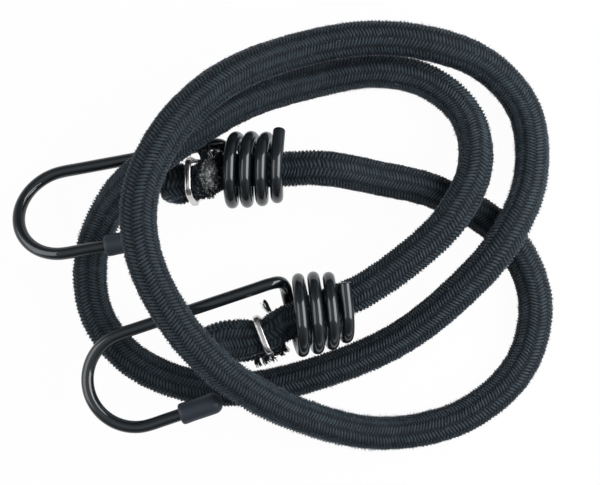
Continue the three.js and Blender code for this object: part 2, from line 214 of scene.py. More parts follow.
REAR = {
    "name": "rear", "point": (-10.0, 19.3, 11.6), "azimuth": 1.5, "elevation": 2, "straight": (10.5, 20),
    "coil_point": (-17.3, 19.2, 11.35), "coil_azimuth": 2.4, "coil_elevation": 5.4, "coil_roll": -27.3,
    "coil_play": 2.45, "cap_grip": 7.0, "tail_roll": -10,
    "outward": [(0.5, 0, 0, 1, 1), (0.8, -0.02, -0.06, 1, 0.92), (1.05, -0.09, -0.24, 0.98, 0.76),
                (1.3, -0.2, -0.42, 0.94, 0.64), (1.5, -0.29, -0.47, 0.87, 0.62),
                (1.78, -0.3, -0.48, 0.88, 0.62)],
    "fold": (2, -0.3, -0.13), "fold_section": (1.06, 0.62),
    "tail": [(1.78, -0.3, 0.22, 0.88, 0.6), (1.65, -0.3, 0.22, 0.86, 0.6), (1.48, -0.3, 0.23, 0.87, 0.58),
             (1.31, -0.31, 0.43, 0.96, 0.62), (1.04, -0.32, 0.8, 1.04, 0.68)],
    "clip_centre": (1.66, -0.3, -0.06), "clip_inside": (0.89, 1.49),
    "loose": [((-10.8, 1.3, 5.8), (2.4, 0.5, 1.4), (0.1, 1.0, -0.1), 4.2, 26, 4),
              ((-9.6, 1.8, 7.6), (0.6, 0.5, 0.6), (0.3, 0.8, 0.25), 3.0, 1, 5),
              ((-15.0, 1.6, 5.0), (0.6, 0.4, 0.5), (-1.0, 0.3, 0.15), 4.2, 0, 5),
              ((-10.2, -7.6, 7.2), (0.9, 0.6, 0.9), (0.3, -1.0, 0.2), 1.8, 4, 9)],
    "frayed": (0.8, 1.9),
    "tongue": [(-0.7, 0.1, -0.4), (0.8, 0.3, -0.6), (2.4, 0.35, -0.5), (4.4, 0.1, -0.2)],
}
ENDS = (FRONT, REAR)

# Setting: lamps by name, place, width, height and watts, then the light of the floor and of the world
LAMPS = (("left_softbox", (-0.4, -0.02, 0.3), 0.4, 0.5, 1.35),
         ("right_softbox", (0.24, 0.03, 0.215), 0.24, 0.37, 1.4))
LAMP_AIM = (0, 0, 0.01)
FLOOR_HALF = 2.0
FLOOR_GREY = (0.8, 0.8, 0.8, 1)
FLOOR_SEEN = 0.97
FLOOR_REFLECTED = 0.7
FLOOR_BRIGHTER_SEEN = 0.3
SKY_TINT = (0.93, 0.99, 1.03)
WHITE = (1, 1, 1)
REFLECTED_ALL_ROUND = 0.07
REFLECTED_ABOVE = 0.55
REFLECTED_BESIDE = 0.5
LIGHT_FROM_LOW = 1.6
LIGHT_ALL_ROUND = 0.05


# Nodes: sums on sockets are written as plain expressions, and every other node comes from Tree.node

class Value:
    """A node's output, with the arithmetic that this scene uses"""

    def __init__(self, tree, socket):
        self.tree = tree
        self.socket = socket

    def out(self, name):
        return Value(self.tree, self.socket.node.outputs[name])

    def math(self, operation, *others):
        return self.tree.node("ShaderNodeMath", {"operation": operation}, [self, *others])

    def __add__(self, other):
        return self.math("ADD", other)

    __radd__ = __add__

    def __mul__(self, other):
        return self.math("MULTIPLY", other)

    __rmul__ = __mul__

    def __sub__(self, other):
        return self.math("SUBTRACT", other)

    def __rsub__(self, other):
        return self.tree.node("ShaderNodeMath", {"operation": "SUBTRACT"}, [other, self])

    def __pow__(self, other):
        return self.math("POWER", other)


class Tree:
    """A node tree that is written top down"""

    def __init__(self, node_tree):
        self.nodes = node_tree.nodes
        self.links = node_tree.links

    def node(self, kind, settings=None, inputs=None, out=0):
        made = self.nodes.new(kind)
        for key, value in (settings or {}).items():
            if key == "stops":
                ramp = made.color_ramp
                while len(ramp.elements) < len(value):
                    ramp.elements.new(0.5)
                for element, (place, colour) in zip(ramp.elements, value):
                    element.position = place
                    element.color = (*colour, 1)
            else:
                setattr(made, key, value)
        pairs = inputs.items() if isinstance(inputs, dict) else enumerate(inputs or [])
        for key, value in pairs:
            if isinstance(value, Value):
                self.links.new(value.socket, made.inputs[key])
            elif value is not None:
                made.inputs[key].default_value = value
        return Value(self, made.outputs[out]) if made.outputs else made

    def vector(self, x, y, z):
        return self.node("ShaderNodeCombineXYZ", inputs=[x, y, z])

    def position(self):
        return self.node("GeometryNodeInputPosition")

    def carried(self, name, kind):
        """What point_line wrote on the line's points"""
        return self.node("GeometryNodeInputNamedAttribute", {"data_type": kind}, {"Name": name})

    def shaken(self, geometry, noise, amount):
        """Moves points to any side by a coloured noise"""
        shift = self.node("ShaderNodeVectorMath", {"operation": "SUBTRACT"}, [noise, (0.5, 0.5, 0.5)])
        offset = self.node("ShaderNodeVectorMath", {"operation": "SCALE"}, {"Vector": shift, "Scale": amount})
        return self.node("GeometryNodeSetPosition", inputs={"Geometry": geometry, "Offset": offset})

    def finished(self, geometry, material):
        """Ends a geometry tree with smooth faces of one material"""
        soft = self.node("GeometryNodeSetShadeSmooth", inputs={"Geometry": geometry})
        self.node("NodeGroupOutput", inputs=[
            self.node("GeometryNodeSetMaterial", inputs={"Geometry": soft, "Material": material})])


# Lines and frames

def unit(v):
    v = np.asarray(v, float)
    return v / np.linalg.norm(v, axis=-1, keepdims=True)


def direction(azimuth, elevation):
    a, e = math.radians(azimuth), math.radians(elevation)
    return np.array([math.cos(a) * math.cos(e), math.sin(a) * math.cos(e), math.sin(e)])


class Place:
    """A frame with its first axis along a direction and its second one level, rolled about the first"""

    def __init__(self, point, azimuth, elevation, roll):
        first = direction(azimuth, elevation)
        level = unit(np.cross((0, 0, 1), first))
        upright = np.cross(first, level)
        r = math.radians(roll)
        second = level * math.cos(r) + upright * math.sin(r)
        self.axes = np.array([first, second, np.cross(first, second)])
        self.point = np.asarray(point, float)

    def points(self, local):
        return np.asarray(local, float) @ self.axes + self.point

    def ways(self, local):
        return np.asarray(local, float) @ self.axes


def smooth_line(points, per=24):
    """A centripetal spline through the points, in any number of dimensions"""
    least = 1e-9
    p = [np.asarray(q, float) for q in points]
    p = [2 * p[0] - p[1]] + p + [2 * p[-1] - p[-2]]
    line = []
    for p0, p1, p2, p3 in zip(p, p[1:], p[2:], p[3:]):
        d0, d1, d2 = (max(np.linalg.norm(b - a), least) ** 0.5 for a, b in ((p0, p1), (p1, p2), (p2, p3)))
        m1 = ((p1 - p0) / d0 - (p2 - p0) / (d0 + d1) + (p2 - p1) / d1) * d1
        m2 = ((p2 - p1) / d1 - (p3 - p1) / (d1 + d2) + (p3 - p2) / d2) * d1
        for t in np.arange(per) / per:
            line.append((2 * t**3 - 3 * t**2 + 1) * p1 + (t**3 - 2 * t**2 + t) * m1
                        + (3 * t**2 - 2 * t**3) * p2 + (t**3 - t**2) * m2)
    line.append(p[-2])
    return np.array(line)


def even_line(line, step):
    """The same line with points at even steps along it"""
    run = np.r_[0, np.cumsum(np.linalg.norm(np.diff(line[:, :3], axis=0), axis=1))]
    stops = np.linspace(0, run[-1], max(2, round(run[-1] / step) + 1))
    return np.stack([np.interp(stops, run, line[:, k]) for k in range(line.shape[1])], 1)


def headings(line):
    return unit(np.gradient(line[:, :3], axis=0))


def carried_frames(line, start):
    """Across and lift directions carried along the line without twist"""
    forward = headings(line)
    across = np.zeros_like(forward)
    side = np.asarray(start, float)
    for i, f in enumerate(forward):
        side = unit(side - f * (side @ f))
        across[i] = side
    return across, np.cross(forward, across)


def circle(sides, radius=1.0):
    a = np.arange(sides) / sides * 2 * math.pi
    return np.stack([np.cos(a), np.sin(a)], 1) * radius


def rounded_box(width, height, radius, per):
    """Corner points of a rectangle with rounded corners, going round once"""
    points = []
    for k, (sx, sy) in enumerate(((1, 1), (-1, 1), (-1, -1), (1, -1))):
        for t in np.linspace(0, math.pi / 2, per):
            a = t + k * math.pi / 2
            points.append((sx * (width / 2 - radius) + radius * math.cos(a),
                           sy * (height / 2 - radius) + radius * math.sin(a)))
    return np.array(points)


def turned(outline, angle):
    c, s = math.cos(angle), math.sin(angle)
    return outline @ np.array([[c, s], [-s, c]])


# Meshes

def placed(name, data):
    made = bpy.data.objects.new(name, data)
    bpy.context.scene.collection.objects.link(made)
    return made


def piece(name, points, faces, material):
    mesh = bpy.data.meshes.new(name)
    mesh.from_pydata((np.asarray(points) * MM).tolist(), [], faces)
    mesh.materials.append(material)
    mesh.polygons.foreach_set("use_smooth", [True] * len(mesh.polygons))
    mesh.update()
    return placed(name, mesh)


def ring_faces(count, sides):
    """Faces over rings of points that follow each other, and over both ends.

    They look outward for rings that turn left round the way on."""
    faces = []
    for r in range(count - 1):
        for s in range(sides):
            t = (s + 1) % sides
            faces.append((r * sides + s, r * sides + t, (r + 1) * sides + t, (r + 1) * sides + s))
    faces.append(tuple(reversed(range(sides))))
    faces.append(tuple((count - 1) * sides + s for s in range(sides)))
    return faces


def swept(name, line, across, lift, outline, material, scales=None):
    """A solid whose outline moves along a line, with its own width and height at each point of it"""
    sizes = np.ones((len(line), 2)) if scales is None else scales
    rings = [c[:3] + np.outer(outline[:, 0] * w, a) + np.outer(outline[:, 1] * h, l)
             for c, a, l, (w, h) in zip(line, across, lift, sizes)]
    return piece(name, np.concatenate(rings), ring_faces(len(rings), len(outline)), material)


def with_round_ends(line, radius, rounding, per=5):
    """Puts short steps that shrink the outline at a line's two ends, so that its edges are round"""
    ways = headings(line)
    turns = np.linspace(0, math.pi / 2, per, endpoint=False)
    steps = rounding * (1 - np.cos(turns))
    sizes = 1 - rounding / radius * (1 - np.sin(turns))
    first = line[0] + np.outer(steps, ways[0])
    last = line[-1] - np.outer(steps, ways[-1])
    return (np.concatenate([first, line[1:-1], last[::-1]]),
            np.concatenate([sizes, np.ones(len(line) - 2), sizes[::-1]]))


def apply_nodes(made, tree, values):
    """Runs a geometry tree on a piece and leaves the plain mesh that it makes"""
    modifier = made.modifiers.new(tree.name, "NODES")
    modifier.node_group = tree
    for item in tree.interface.items_tree:
        if item.in_out == "INPUT" and item.name in values:
            modifier[item.identifier] = values[item.name]
    seen = made.evaluated_get(bpy.context.evaluated_depsgraph_get())
    mesh = bpy.data.meshes.new_from_object(seen)
    made.modifiers.remove(modifier)
    old = made.data
    made.data = mesh
    mesh.name = old.name
    bpy.data.meshes.remove(old)
    return made


def joined(first, second):
    with bpy.context.temp_override(active_object=first, selected_editable_objects=[first, second]):
        bpy.ops.object.join()
    return first


def point_line(name, line, across, wide, tall):
    """A line of points that carries the side direction and section size of what a geometry tree puts there"""
    mesh = bpy.data.meshes.new(name)
    mesh.from_pydata((line[:, :3] * MM).tolist(), [(i, i + 1) for i in range(len(line) - 1)], [])
    for key, kind, field, data in (("across", "FLOAT_VECTOR", "vector", across),
                                   ("wide", "FLOAT", "value", wide), ("tall", "FLOAT", "value", tall)):
        values = np.ascontiguousarray(data, np.float32).ravel()
        mesh.attributes.new(key, kind, "POINT").data.foreach_set(field, values)
    return placed(name, mesh)


def new_geometry_tree(name, sizes, materials):
    group = bpy.data.node_groups.new(name, "GeometryNodeTree")
    group.interface.new_socket("Line", in_out="INPUT", socket_type="NodeSocketGeometry")
    for key, value in sizes.items():
        kind = "NodeSocketInt" if isinstance(value, int) else "NodeSocketFloat"
        group.interface.new_socket(key, in_out="INPUT", socket_type=kind).default_value = value
    for key in materials:
        group.interface.new_socket(key, in_out="INPUT", socket_type="NodeSocketMaterial")
    group.interface.new_socket("Made", in_out="OUTPUT", socket_type="NodeSocketGeometry")
    tree = Tree(group)
    return group, tree, tree.node("NodeGroupInput")


def braid_tree():
    """Rings of slanted yarn ridges along a line, each ring's columns leaning by turns one way and the other"""
    group, t, given = new_geometry_tree("Braid", {
        "Ridge pitch": 1.0, "Ridge slant": 1.0, "Crown": 1.0, "Dip": 1.0, "Round": 1.0, "Wander": 1.0}, ["Yarn"])
    pitch, slant, crown = given.out("Ridge pitch"), given.out("Ridge slant"), given.out("Crown")
    reach = math.pi / BRAID_COLUMNS * RIDGE_OVERLAP
    rings = []
    for lean, turn in ((1, 0.0), (-1, 2 * math.pi / BRAID_COLUMNS)):
        # A patch from -1 to 1 is bent into a ridge: u goes round the cord and v along it
        patch = t.node("GeometryNodeMeshGrid", inputs={
            "Size X": 2.0, "Size Y": 2.0, "Vertices X": 4, "Vertices Y": 3})
        split = t.node("ShaderNodeSeparateXYZ", inputs=[t.position()])
        u, v = split, split.out("Y")
        edge = u ** 4
        along = (u * slant * lean + v * pitch * RIDGE_HALF_WIDTH * (1 - RIDGE_NARROWING * edge)
                 + pitch * (COLUMN_STAGGER * lean))
        height = crown - given.out("Dip") * edge - given.out("Round") * v * v
        angle = u * reach
        mapped = t.node("GeometryNodeStoreNamedAttribute", {"data_type": "FLOAT2", "domain": "CORNER"}, {
            "Geometry": patch, "Name": "UVMap", "Value": t.vector(u * 0.5 + 0.5, v * 0.5 + 0.5, 0.0)})
        shaped = t.node("GeometryNodeSetPosition", inputs={
            "Geometry": mapped,
            "Position": t.vector(along, height * angle.math("COSINE"), height * angle.math("SINE"))})
        turns = t.node("GeometryNodeInputIndex") * (4 * math.pi / BRAID_COLUMNS) + turn
        rings.append(t.node("GeometryNodeInstanceOnPoints", inputs={
            "Points": t.node("GeometryNodePoints", inputs={"Count": BRAID_COLUMNS // 2}),
            "Instance": shaped, "Rotation": t.vector(turns, 0.0, 0.0)}))
    both = t.node("GeometryNodeJoinGeometry")
    for ring in reversed(rings):
        t.links.new(ring.socket, both.socket.node.inputs[0])
    one_ring = t.node("GeometryNodeRealizeInstances", inputs=[both])
    stops = t.node("GeometryNodeResampleCurve", {"mode": "LENGTH"}, {
        "Curve": t.node("GeometryNodeMeshToCurve", inputs=[given.out("Line")]), "Length": pitch})
    facing = t.node("FunctionNodeAxesToRotation", {"primary_axis": "X", "secondary_axis": "Y"}, [
        t.node("GeometryNodeInputTangent"), t.carried("across", "FLOAT_VECTOR")])
    all_rings = t.node("GeometryNodeInstanceOnPoints", inputs={
        "Points": stops, "Instance": one_ring, "Rotation": facing,
        "Scale": t.vector(1.0, t.carried("wide", "FLOAT"), t.carried("tall", "FLOAT"))})
    solid = t.node("GeometryNodeRealizeInstances", inputs=[all_rings])
    uneven = t.node("ShaderNodeTexNoise", inputs={
        "Vector": t.position(), "Scale": WANDER_SCALE, "Detail": 1.0}, out="Color")
    loose = t.shaken(solid, uneven, given.out("Wander"))
    place = t.node("ShaderNodeSeparateXYZ", inputs=[t.position()])
    pressed = t.node("GeometryNodeSetPosition", inputs={
        "Geometry": loose,
        "Position": t.vector(place, place.out("Y"), place.out("Z").math("MAXIMUM", YARN_LOWEST * MM))})
    t.finished(pressed, given.out("Yarn"))
    return group


def fray_tree():
    """Loose yarn ends: a thin curled thread from each point of a line, along that point's own way"""
    group, t, given = new_geometry_tree(
        "Fray", {"Thickness": 1.0, "Curl": 1.0, "Seed": 1.0, "Points": 8, "Sides": 5}, ["Yarn"])
    thread = t.node("GeometryNodeResampleCurve", {"mode": "COUNT"}, {
        "Curve": t.node("GeometryNodeCurvePrimitiveLine", inputs={"Start": (0, 0, 0), "End": (1, 0, 0)}),
        "Count": given.out("Points")})
    facing = t.node("FunctionNodeAxesToRotation", {"primary_axis": "X", "secondary_axis": "Y"}, [
        t.carried("across", "FLOAT_VECTOR"), THREAD_SIDE])
    reach = t.carried("wide", "FLOAT") * MM
    threads = t.node("GeometryNodeRealizeInstances", inputs=[t.node("GeometryNodeInstanceOnPoints", inputs={
        "Points": t.node("GeometryNodeMeshToPoints", inputs={"Mesh": given.out("Line")}), "Instance": thread,
        "Rotation": facing, "Scale": t.vector(reach, reach, reach)})])
    curl = t.node("ShaderNodeTexNoise", {"noise_dimensions": "4D"}, {
        "Vector": t.position(), "W": given.out("Seed"), "Scale": CURL_SCALE, "Detail": 1.0}, out="Color")
    moved = t.shaken(threads, curl, t.node("GeometryNodeSplineParameter") * given.out("Curl"))
    outline = t.node("GeometryNodeCurvePrimitiveCircle", inputs={
        "Resolution": given.out("Sides"), "Radius": given.out("Thickness")})
    tubes = t.node("GeometryNodeCurveToMesh", inputs={
        "Curve": moved, "Fill Caps": True, "Profile Curve": outline})
    t.finished(t.node("GeometryNodeRealizeInstances", inputs=[tubes]), given.out("Yarn"))
    return group


# Finishes

COOL_LIGHT = (0.82, 0.92, 1, 1)

# Yarn: the filaments of a ridge, and how much each thing makes it paler or darker. The crown's paleness is painted
# light, the darkening where a ridge goes under the next is painted shade, and filaments, patches and tufts are the
# yarn's own tone
FILAMENTS_PER_RIDGE = 7.0
FILAMENT_TWIST = 0.8
FILAMENT_WANDER = 0.7
CROWN_PAINTED_LIGHT = 0.85
FILAMENT_PALER = 0.25
PATCH_PALER = 0.7
TUFT_PALER = 0.9
TUCKED_PAINTED_SHADE = 0.45


def new_finish(name, colour, roughness, **constants):
    material = bpy.data.materials.new(name)
    material.use_nodes = True
    shader = material.node_tree.nodes["Principled BSDF"]
    shader.inputs["Base Color"].default_value = (*colour, 1)
    shader.inputs["Roughness"].default_value = roughness
    for key, value in constants.items():
        shader.inputs[key.replace("_", " ")].default_value = value
    return material, Tree(material.node_tree), shader


def feed(tree, shader, **values):
    for key, value in values.items():
        tree.links.new(value.socket, shader.inputs[key.replace("_", " ")])


def grain(tree, scale, detail=3.0):
    """Even speckle over a piece, fixed to it"""
    place = tree.node("ShaderNodeTexCoord", out="Object")
    return tree.node("ShaderNodeTexNoise", inputs={"Vector": place, "Scale": scale, "Detail": detail})


def mixed(tree, share, first, second):
    colours = {0: share, 6: (*first, 1), 7: (*second, 1)}
    return tree.node("ShaderNodeMix", {"data_type": "RGBA"}, colours, out=2)


def relief(tree, height, strength, depth):
    return tree.node("ShaderNodeBump", inputs={"Strength": strength, "Distance": depth * MM, "Height": height})


def yarn_finish(name, dark, light):
    """Twisted filaments along each ridge, with a painted highlight along its crown and painted shade at its ends,
    where it goes under the next
    """
    material, t, shader = new_finish(
        name, dark, roughness=0.6, Specular_IOR_Level=0.25, Specular_Tint=(0.78, 0.92, 1, 1),
        Sheen_Weight=1.0, Sheen_Roughness=0.12, Sheen_Tint=(0.84, 0.87, 1, 1))
    split = t.node("ShaderNodeSeparateXYZ", inputs=[t.node("ShaderNodeUVMap", {"uv_map": "UVMap"})])
    u, v = split, split.out("Y")
    wander, patches = grain(t, scale=900.0), grain(t, scale=160.0)
    tufts = grain(t, scale=620.0, detail=2.0)
    strands = v * FILAMENTS_PER_RIDGE + u * FILAMENT_TWIST + wander * FILAMENT_WANDER
    filaments = (strands * (2 * math.pi)).math("SINE") * 0.5 + 0.5
    # Painted light on each ridge's crown and painted shade at its two ends, where it goes under the next column;
    # both go into the base colour with the yarn's own tone
    crown = 1 - (v * 2.0 - 1.0).math("ABSOLUTE") ** 2
    tucked_shade = (u * 2.0 - 1.0).math("ABSOLUTE") ** 4
    pale = (crown * CROWN_PAINTED_LIGHT + (filaments - 0.5) * FILAMENT_PALER + (patches - 0.5) * PATCH_PALER
            + (tufts - 0.5) * TUFT_PALER - tucked_shade * TUCKED_PAINTED_SHADE)
    share = pale.math("MAXIMUM", 0.0).math("MINIMUM", 1.0)
    feed(t, shader, Base_Color=mixed(t, share, dark, light),
         Roughness=0.5 + 0.2 * (1 - filaments) + (wander - 0.5) * 0.15,
         Normal=relief(t, filaments, strength=0.6, depth=0.06))
    return material


def ground_finish():
    """The shaded yarn between the ridges"""
    material, t, shader = new_finish("braid_ground", (0.008, 0.009, 0.011), roughness=0.8, Specular_IOR_Level=0.1)
    speck = grain(t, scale=1500.0)
    feed(t, shader, Base_Color=mixed(t, speck, (0.0063, 0.0081, 0.0098), (0.016, 0.0196, 0.0235)),
         Normal=relief(t, speck, strength=0.5, depth=0.1))
    return material


def rubber_finish():
    """Pale cut rubber with specks of talc"""
    material, t, shader = new_finish("core_rubber", (0.2, 0.2, 0.19), roughness=0.7)
    speck = grain(t, scale=1300.0, detail=4.0)
    patch = grain(t, scale=350.0)
    stops = [(0.4, (0.016, 0.018, 0.02)), (0.52, (0.08, 0.085, 0.087)), (0.68, (0.44, 0.45, 0.45))]
    tone = t.node("ShaderNodeValToRGB", {"stops": stops}, [speck * 0.7 + patch * 0.3])
    feed(t, shader, Base_Color=tone, Roughness=0.55 + 0.3 * speck,
         Normal=relief(t, speck, strength=0.5, depth=0.15))
    return material


def coating_finish():
    """Thick glossy dip over the hook's wire, a little uneven"""
    material, t, shader = new_finish(
        "wire_coating", (0.006, 0.0068, 0.0076), roughness=0.35, Specular_IOR_Level=0.15,
        Specular_Tint=COOL_LIGHT, Coat_Weight=0.8, Coat_Roughness=0.04, Coat_IOR=1.68, Coat_Tint=COOL_LIGHT)
    ripple = grain(t, scale=240.0, detail=1.0)
    dust = grain(t, scale=2600.0, detail=2.0)
    feed(t, shader, Base_Color=mixed(t, ripple, (0.0062, 0.0071, 0.008), (0.0117, 0.0133, 0.0148)),
         Roughness=0.3 + 0.08 * ripple + 0.05 * dust, Normal=relief(t, ripple, strength=0.25, depth=0.12))
    return material


def cap_finish():
    """Satin soft plastic"""
    material, t, shader = new_finish(
        "tip_cap_plastic", (0.009, 0.0102, 0.0118), roughness=0.42, Specular_Tint=COOL_LIGHT)
    fine = grain(t, scale=2200.0, detail=2.0)
    broad = grain(t, scale=180.0)
    feed(t, shader, Base_Color=mixed(t, broad, (0.0165, 0.02, 0.0275), (0.0285, 0.0345, 0.047)),
         Roughness=0.34 + 0.16 * broad + 0.1 * fine, Normal=relief(t, fine, strength=0.25, depth=0.05))
    return material


def steel_finish():
    """Bright rolled strip, a little uneven in tone and gloss"""
    material, t, shader = new_finish("clip_strip", (0.72, 0.7, 0.69), roughness=0.22, Metallic=1.0)
    gloss = grain(t, scale=900.0, detail=1.0)
    scuff = grain(t, scale=260.0, detail=2.0)
    stops = [(0.3, (0.7, 0.66, 0.65)), (0.6, (0.92, 0.88, 0.87))]
    worn = t.node("ShaderNodeValToRGB", {"stops": stops}, [scuff])
    feed(t, shader, Base_Color=worn, Roughness=0.14 + 0.1 * gloss,
         Normal=relief(t, scuff, strength=0.1, depth=0.06))
    return material


BLACK_YARN = yarn_finish("black_yarn", (0.0056, 0.0077, 0.0099), (0.0395, 0.0553, 0.0675))
PALE_YARN = yarn_finish("pale_yarn", (0.42, 0.42, 0.43), (0.72, 0.72, 0.74))
# The stray fibres are coloured far paler than the black yarn they come from: a painted sheen for the light that
# fuzz catches at the cord's outline
FIBRE_PAINTED_SHEEN = yarn_finish("stray_fibre_painted_sheen", (0.085, 0.098, 0.123), (0.28, 0.315, 0.385))
GROUND = ground_finish()
RUBBER = rubber_finish()
COATING = coating_finish()
CAP_PLASTIC = cap_finish()
STEEL = steel_finish()
BRAID = braid_tree()
FRAY = fray_tree()

# Loose threads by finish, ending of the name, threads in a lock, radius, curl and threads round the sheath's mouth
LOOSE_KINDS = ((BLACK_YARN, "_loose_threads", 12, 0.12, 1.2, 260), (PALE_YARN, "_pale_threads", 1, 0.06, 5.0, 14))


def dress(made, body, slot, *nodes):
    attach(made, body)
    if nodes:
        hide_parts(*nodes)
    return made


def add_camera():
    data = bpy.data.cameras.new("camera")
    data.sensor_width = SENSOR_WIDTH
    data.lens = FOCAL_PIXELS / PICTURE_WIDTH * SENSOR_WIDTH
    data.clip_start = NEAREST_SEEN * MM
    camera = placed("camera", data)
    camera.location = [c * MM for c in CAMERA_PLACE]
    bpy.context.scene.camera = camera


# Cord

def cord_line():
    def straight(end):
        axis = direction(end["azimuth"], end["elevation"])
        return [np.array(end["point"]) + axis * s for s in (CLEARANCE / 2, *end["straight"])]

    between = [np.array((x, y, REST_HEIGHT + lift * CORD_DIAMETER)) for x, y, lift in ROUTE]
    line = smooth_line(straight(FRONT) + between + straight(REAR)[::-1])
    line[:, 2] = np.maximum(line[:, 2], REST_HEIGHT)
    return even_line(line, CORD_STEP)


def braided(name, line, across, lift, wide, tall):
    """A braid over a dark ground, as one piece"""
    made = apply_nodes(point_line(name, line, across, wide, tall), BRAID, {
        "Ridge pitch": RIDGE_PITCH * MM, "Ridge slant": RIDGE_SLANT * MM, "Crown": RIDGE_CROWN * MM,
        "Dip": RIDGE_DIP * MM, "Round": RIDGE_ROUND * MM, "Wander": RIDGE_WANDER * MM, "Yarn": BLACK_YARN})
    some = slice(0, None, 2)
    ground = swept(name + "_ground", line[some], across[some], lift[some], circle(GROUND_SIDES, GROUND_RADIUS),
                   GROUND, np.stack([wide, tall], 1)[some])
    for vertex in ground.data.vertices:
        vertex.co.z = max(vertex.co.z, GROUND_LOWEST * MM)
    return joined(made, ground)


def threads(name, roots, ways, lengths, radius, curl, seed, material, points=8, sides=5):
    made = point_line(name, roots, ways, lengths, lengths)
    return apply_nodes(made, FRAY, {"Thickness": radius * MM, "Curl": curl * MM, "Seed": seed, "Yarn": material,
                                    "Points": points, "Sides": sides})


def strand_places():
    """Places and turns of the core's strands: a ring of them, and two in the middle"""
    bore = CORD_RADIUS - SHEATH_WALL
    reach = bore * math.cos(math.pi / CORD_SIDES) - CLEARANCE
    ring = math.sqrt(reach**2 - (STRAND_SIDE / 2) ** 2) - STRAND_SIDE / 2
    places = []
    for i in range(OUTER_STRANDS):
        a = i / OUTER_STRANDS * 2 * math.pi
        places.append((ring * math.cos(a), ring * math.sin(a), a))
    middle = (STRAND_SIDE + CLEARANCE) / 2
    return places + [(-middle, 0.0, 0.0), (middle, 0.0, 0.0)]


def stray_fibres(name, body, count, line, across, lift, wide, tall):
    """Short broken filaments that stand off a braid and soften its outline, most of them at its sides, coloured
    pale as a painted sheen
    """
    chance = np.random.default_rng(FIBRE_DRAW)
    at = chance.integers(2, len(line) - 2, count)
    around = chance.uniform(0, 2 * math.pi, count)
    reach = (across[at] * (np.cos(around) * wide[at])[:, None]
             + lift[at] * (np.sin(around) * tall[at])[:, None])
    away = unit(reach)
    shift = chance.uniform(-FIBRE_SHIFT, FIBRE_SHIFT, count)[:, None]
    roots = line[at] + reach * (CORD_RADIUS - FIBRE_SINK) + headings(line)[at] * shift
    ways = unit(away * FIBRE_LEAN + chance.normal(size=(count, 3)) * FIBRE_SCATTER)
    wanted = (np.abs(away[:, 2]) < SIDE_RISE) | (chance.uniform(size=count) < TOP_SHARE)
    kept = (roots[:, 2] > FIBRE_LOWEST) & wanted
    lengths = chance.uniform(*FIBRE_LENGTHS, count)
    made = threads(name, roots[kept], ways[kept], lengths[kept], FIBRE_RADIUS, FIBRE_CURL, FIBRE_CURL_SEED, FIBRE_PAINTED_SHEEN,
                   points=3, sides=3)
    return dress(made, body, "yarn")


def add_cord():
    line = cord_line()
    across, lift = carried_frames(line, np.cross((0, 0, 1), headings(line)[0]))
    even = np.ones(len(line))
    cord = dress(braided("braided_cord", line, across, lift, even, even), "cord", "yarn", "cord_sheath")
    some = slice(0, None, 3)
    strands = []
    for i, (x, y, turn) in enumerate(strand_places()):
        outline = turned(rounded_box(STRAND_SIDE, STRAND_SIDE, STRAND_ROUND, per=3), turn) + (x, y)
        strand = swept(f"core_strand_{i + 1}", line[some], across[some], lift[some], outline, RUBBER)
        strands.append(dress(strand, "cord", "rubber", f"rubber_strand_{i + 1}"))
    fibres = stray_fibres("stray_fibres", "cord", STRAY_FIBRES, line, across, lift, even, even)
    path = line * MM
    strands + [fibres]


# Hooks

def hook_line(coil_play):
    """The wire's line in the coil's frame, from the arm's tip round the bend and along the shank into the coil"""
    coil_radius = CORD_RADIUS + WIRE_RADIUS + coil_play
    end_radius = CORD_RADIUS + WIRE_RADIUS + COIL_END_PLAY
    lean = math.radians(SHANK_LEAN)
    away = np.array((-math.cos(lean), -math.sin(lean), 0))
    side = np.array((-math.sin(lean), math.cos(lean), 0))
    shank_start = np.array((-CORNER_RADIUS, coil_radius, 0))
    run = SHANK_LENGTH - CORNER_RADIUS
    centre = shank_start + away * run - side * BEND_RADIUS
    arm_start = centre - side * BEND_RADIUS
    points = [arm_start - away * ARM_LENGTH * k for k in np.linspace(1, 0, ARM_POINTS)]
    for a in np.linspace(0, math.pi, BEND_POINTS)[1:-1]:
        points.append(centre - side * BEND_RADIUS * math.cos(a) + away * BEND_RADIUS * math.sin(a))
    points += [shank_start + away * run * k for k in np.linspace(1, 0, SHANK_POINTS)]
    # The corner stands for the coil's first step
    corner = CORNER_RADIUS * (1 - math.sqrt(0.5))
    points.append(np.array((-corner, coil_radius, -corner)))
    for i in range(2, round(COIL_TURNS * COIL_STEPS_PER_TURN) + 1):
        turn = i / COIL_STEPS_PER_TURN
        taper = max(0, (turn - COIL_TAPER_START) / (COIL_TURNS - COIL_TAPER_START))
        radius = coil_radius + (end_radius - coil_radius) * taper**2
        a = -2 * math.pi * turn
        points.append(np.array((COIL_PITCH * turn, radius * math.cos(a), radius * math.sin(a))))
    lean = math.radians(COIL_TAIL_LEAN)
    tail = np.array((math.sin(lean), math.cos(lean), 0))
    coil_end = points[-1]
    points += [coil_end + tail * COIL_TAIL * k / 3 for k in (1, 2, 3)]
    return smooth_line(points, POINTS_PER_SPAN), points[0], -away


def add_hook(end):
    body = end["name"] + "_hook"
    place = Place(end["coil_point"], end["coil_azimuth"], end["coil_elevation"], end["coil_roll"])
    line, tip, outward = hook_line(end["coil_play"])
    line, sizes = with_round_ends(even_line(place.points(line), WIRE_STEP), WIRE_RADIUS, WIRE_END_ROUND)
    across, lift = carried_frames(line, (0, 0, 1))
    wire = swept(end["name"] + "_wire_hook", line, across, lift, circle(WIRE_SIDES, WIRE_RADIUS), COATING,
                 np.stack([sizes, sizes], 1))
    dress(wire, body, "coated_wire", end["name"] + "_hook_wire")
    add_cap(end, place.points(tip), place.ways(outward), body)


